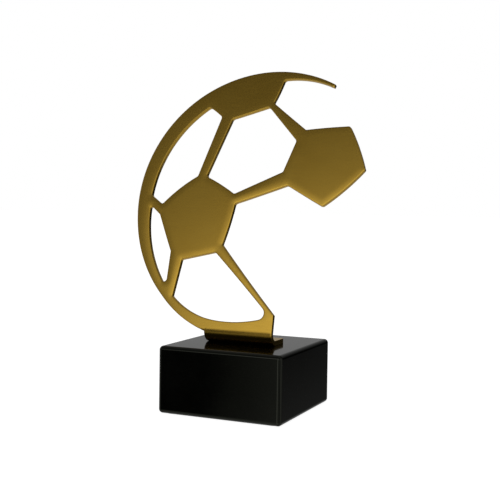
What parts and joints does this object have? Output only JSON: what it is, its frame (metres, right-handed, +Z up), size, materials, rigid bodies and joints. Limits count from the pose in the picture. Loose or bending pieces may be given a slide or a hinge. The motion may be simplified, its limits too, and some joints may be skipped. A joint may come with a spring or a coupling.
{
  "type": "football figure trophy",
  "caption": "Football figure trophy: a folded gold-finished plate, pierced and leaning back, screwed by its flange onto a black lacquered square block.",
  "frame": {"origin": "centre of the underside, on the surface that the trophy stands on", "axes": "+Z up, +X to the right along the block's front face, +Y from the front face to the back; the figure faces -Y and leans back towards +Y"},
  "size_m": [0.1579, 0.081, 0.2163],
  "materials": {
    "gold_plate": "satin, finely brushed",
    "black_lacquer": "satin black lacquer",
    "pad_rubber": "matte foamed rubber",
    "screw_steel": "zinc plated"
  },
  "bodies": {
    "root": {"ball_plate": "gold_plate", "base_block": "black_lacquer", "base_pad": "pad_rubber", "left_screw": "screw_steel", "right_screw": "screw_steel"}
  },
  "joints": []
}
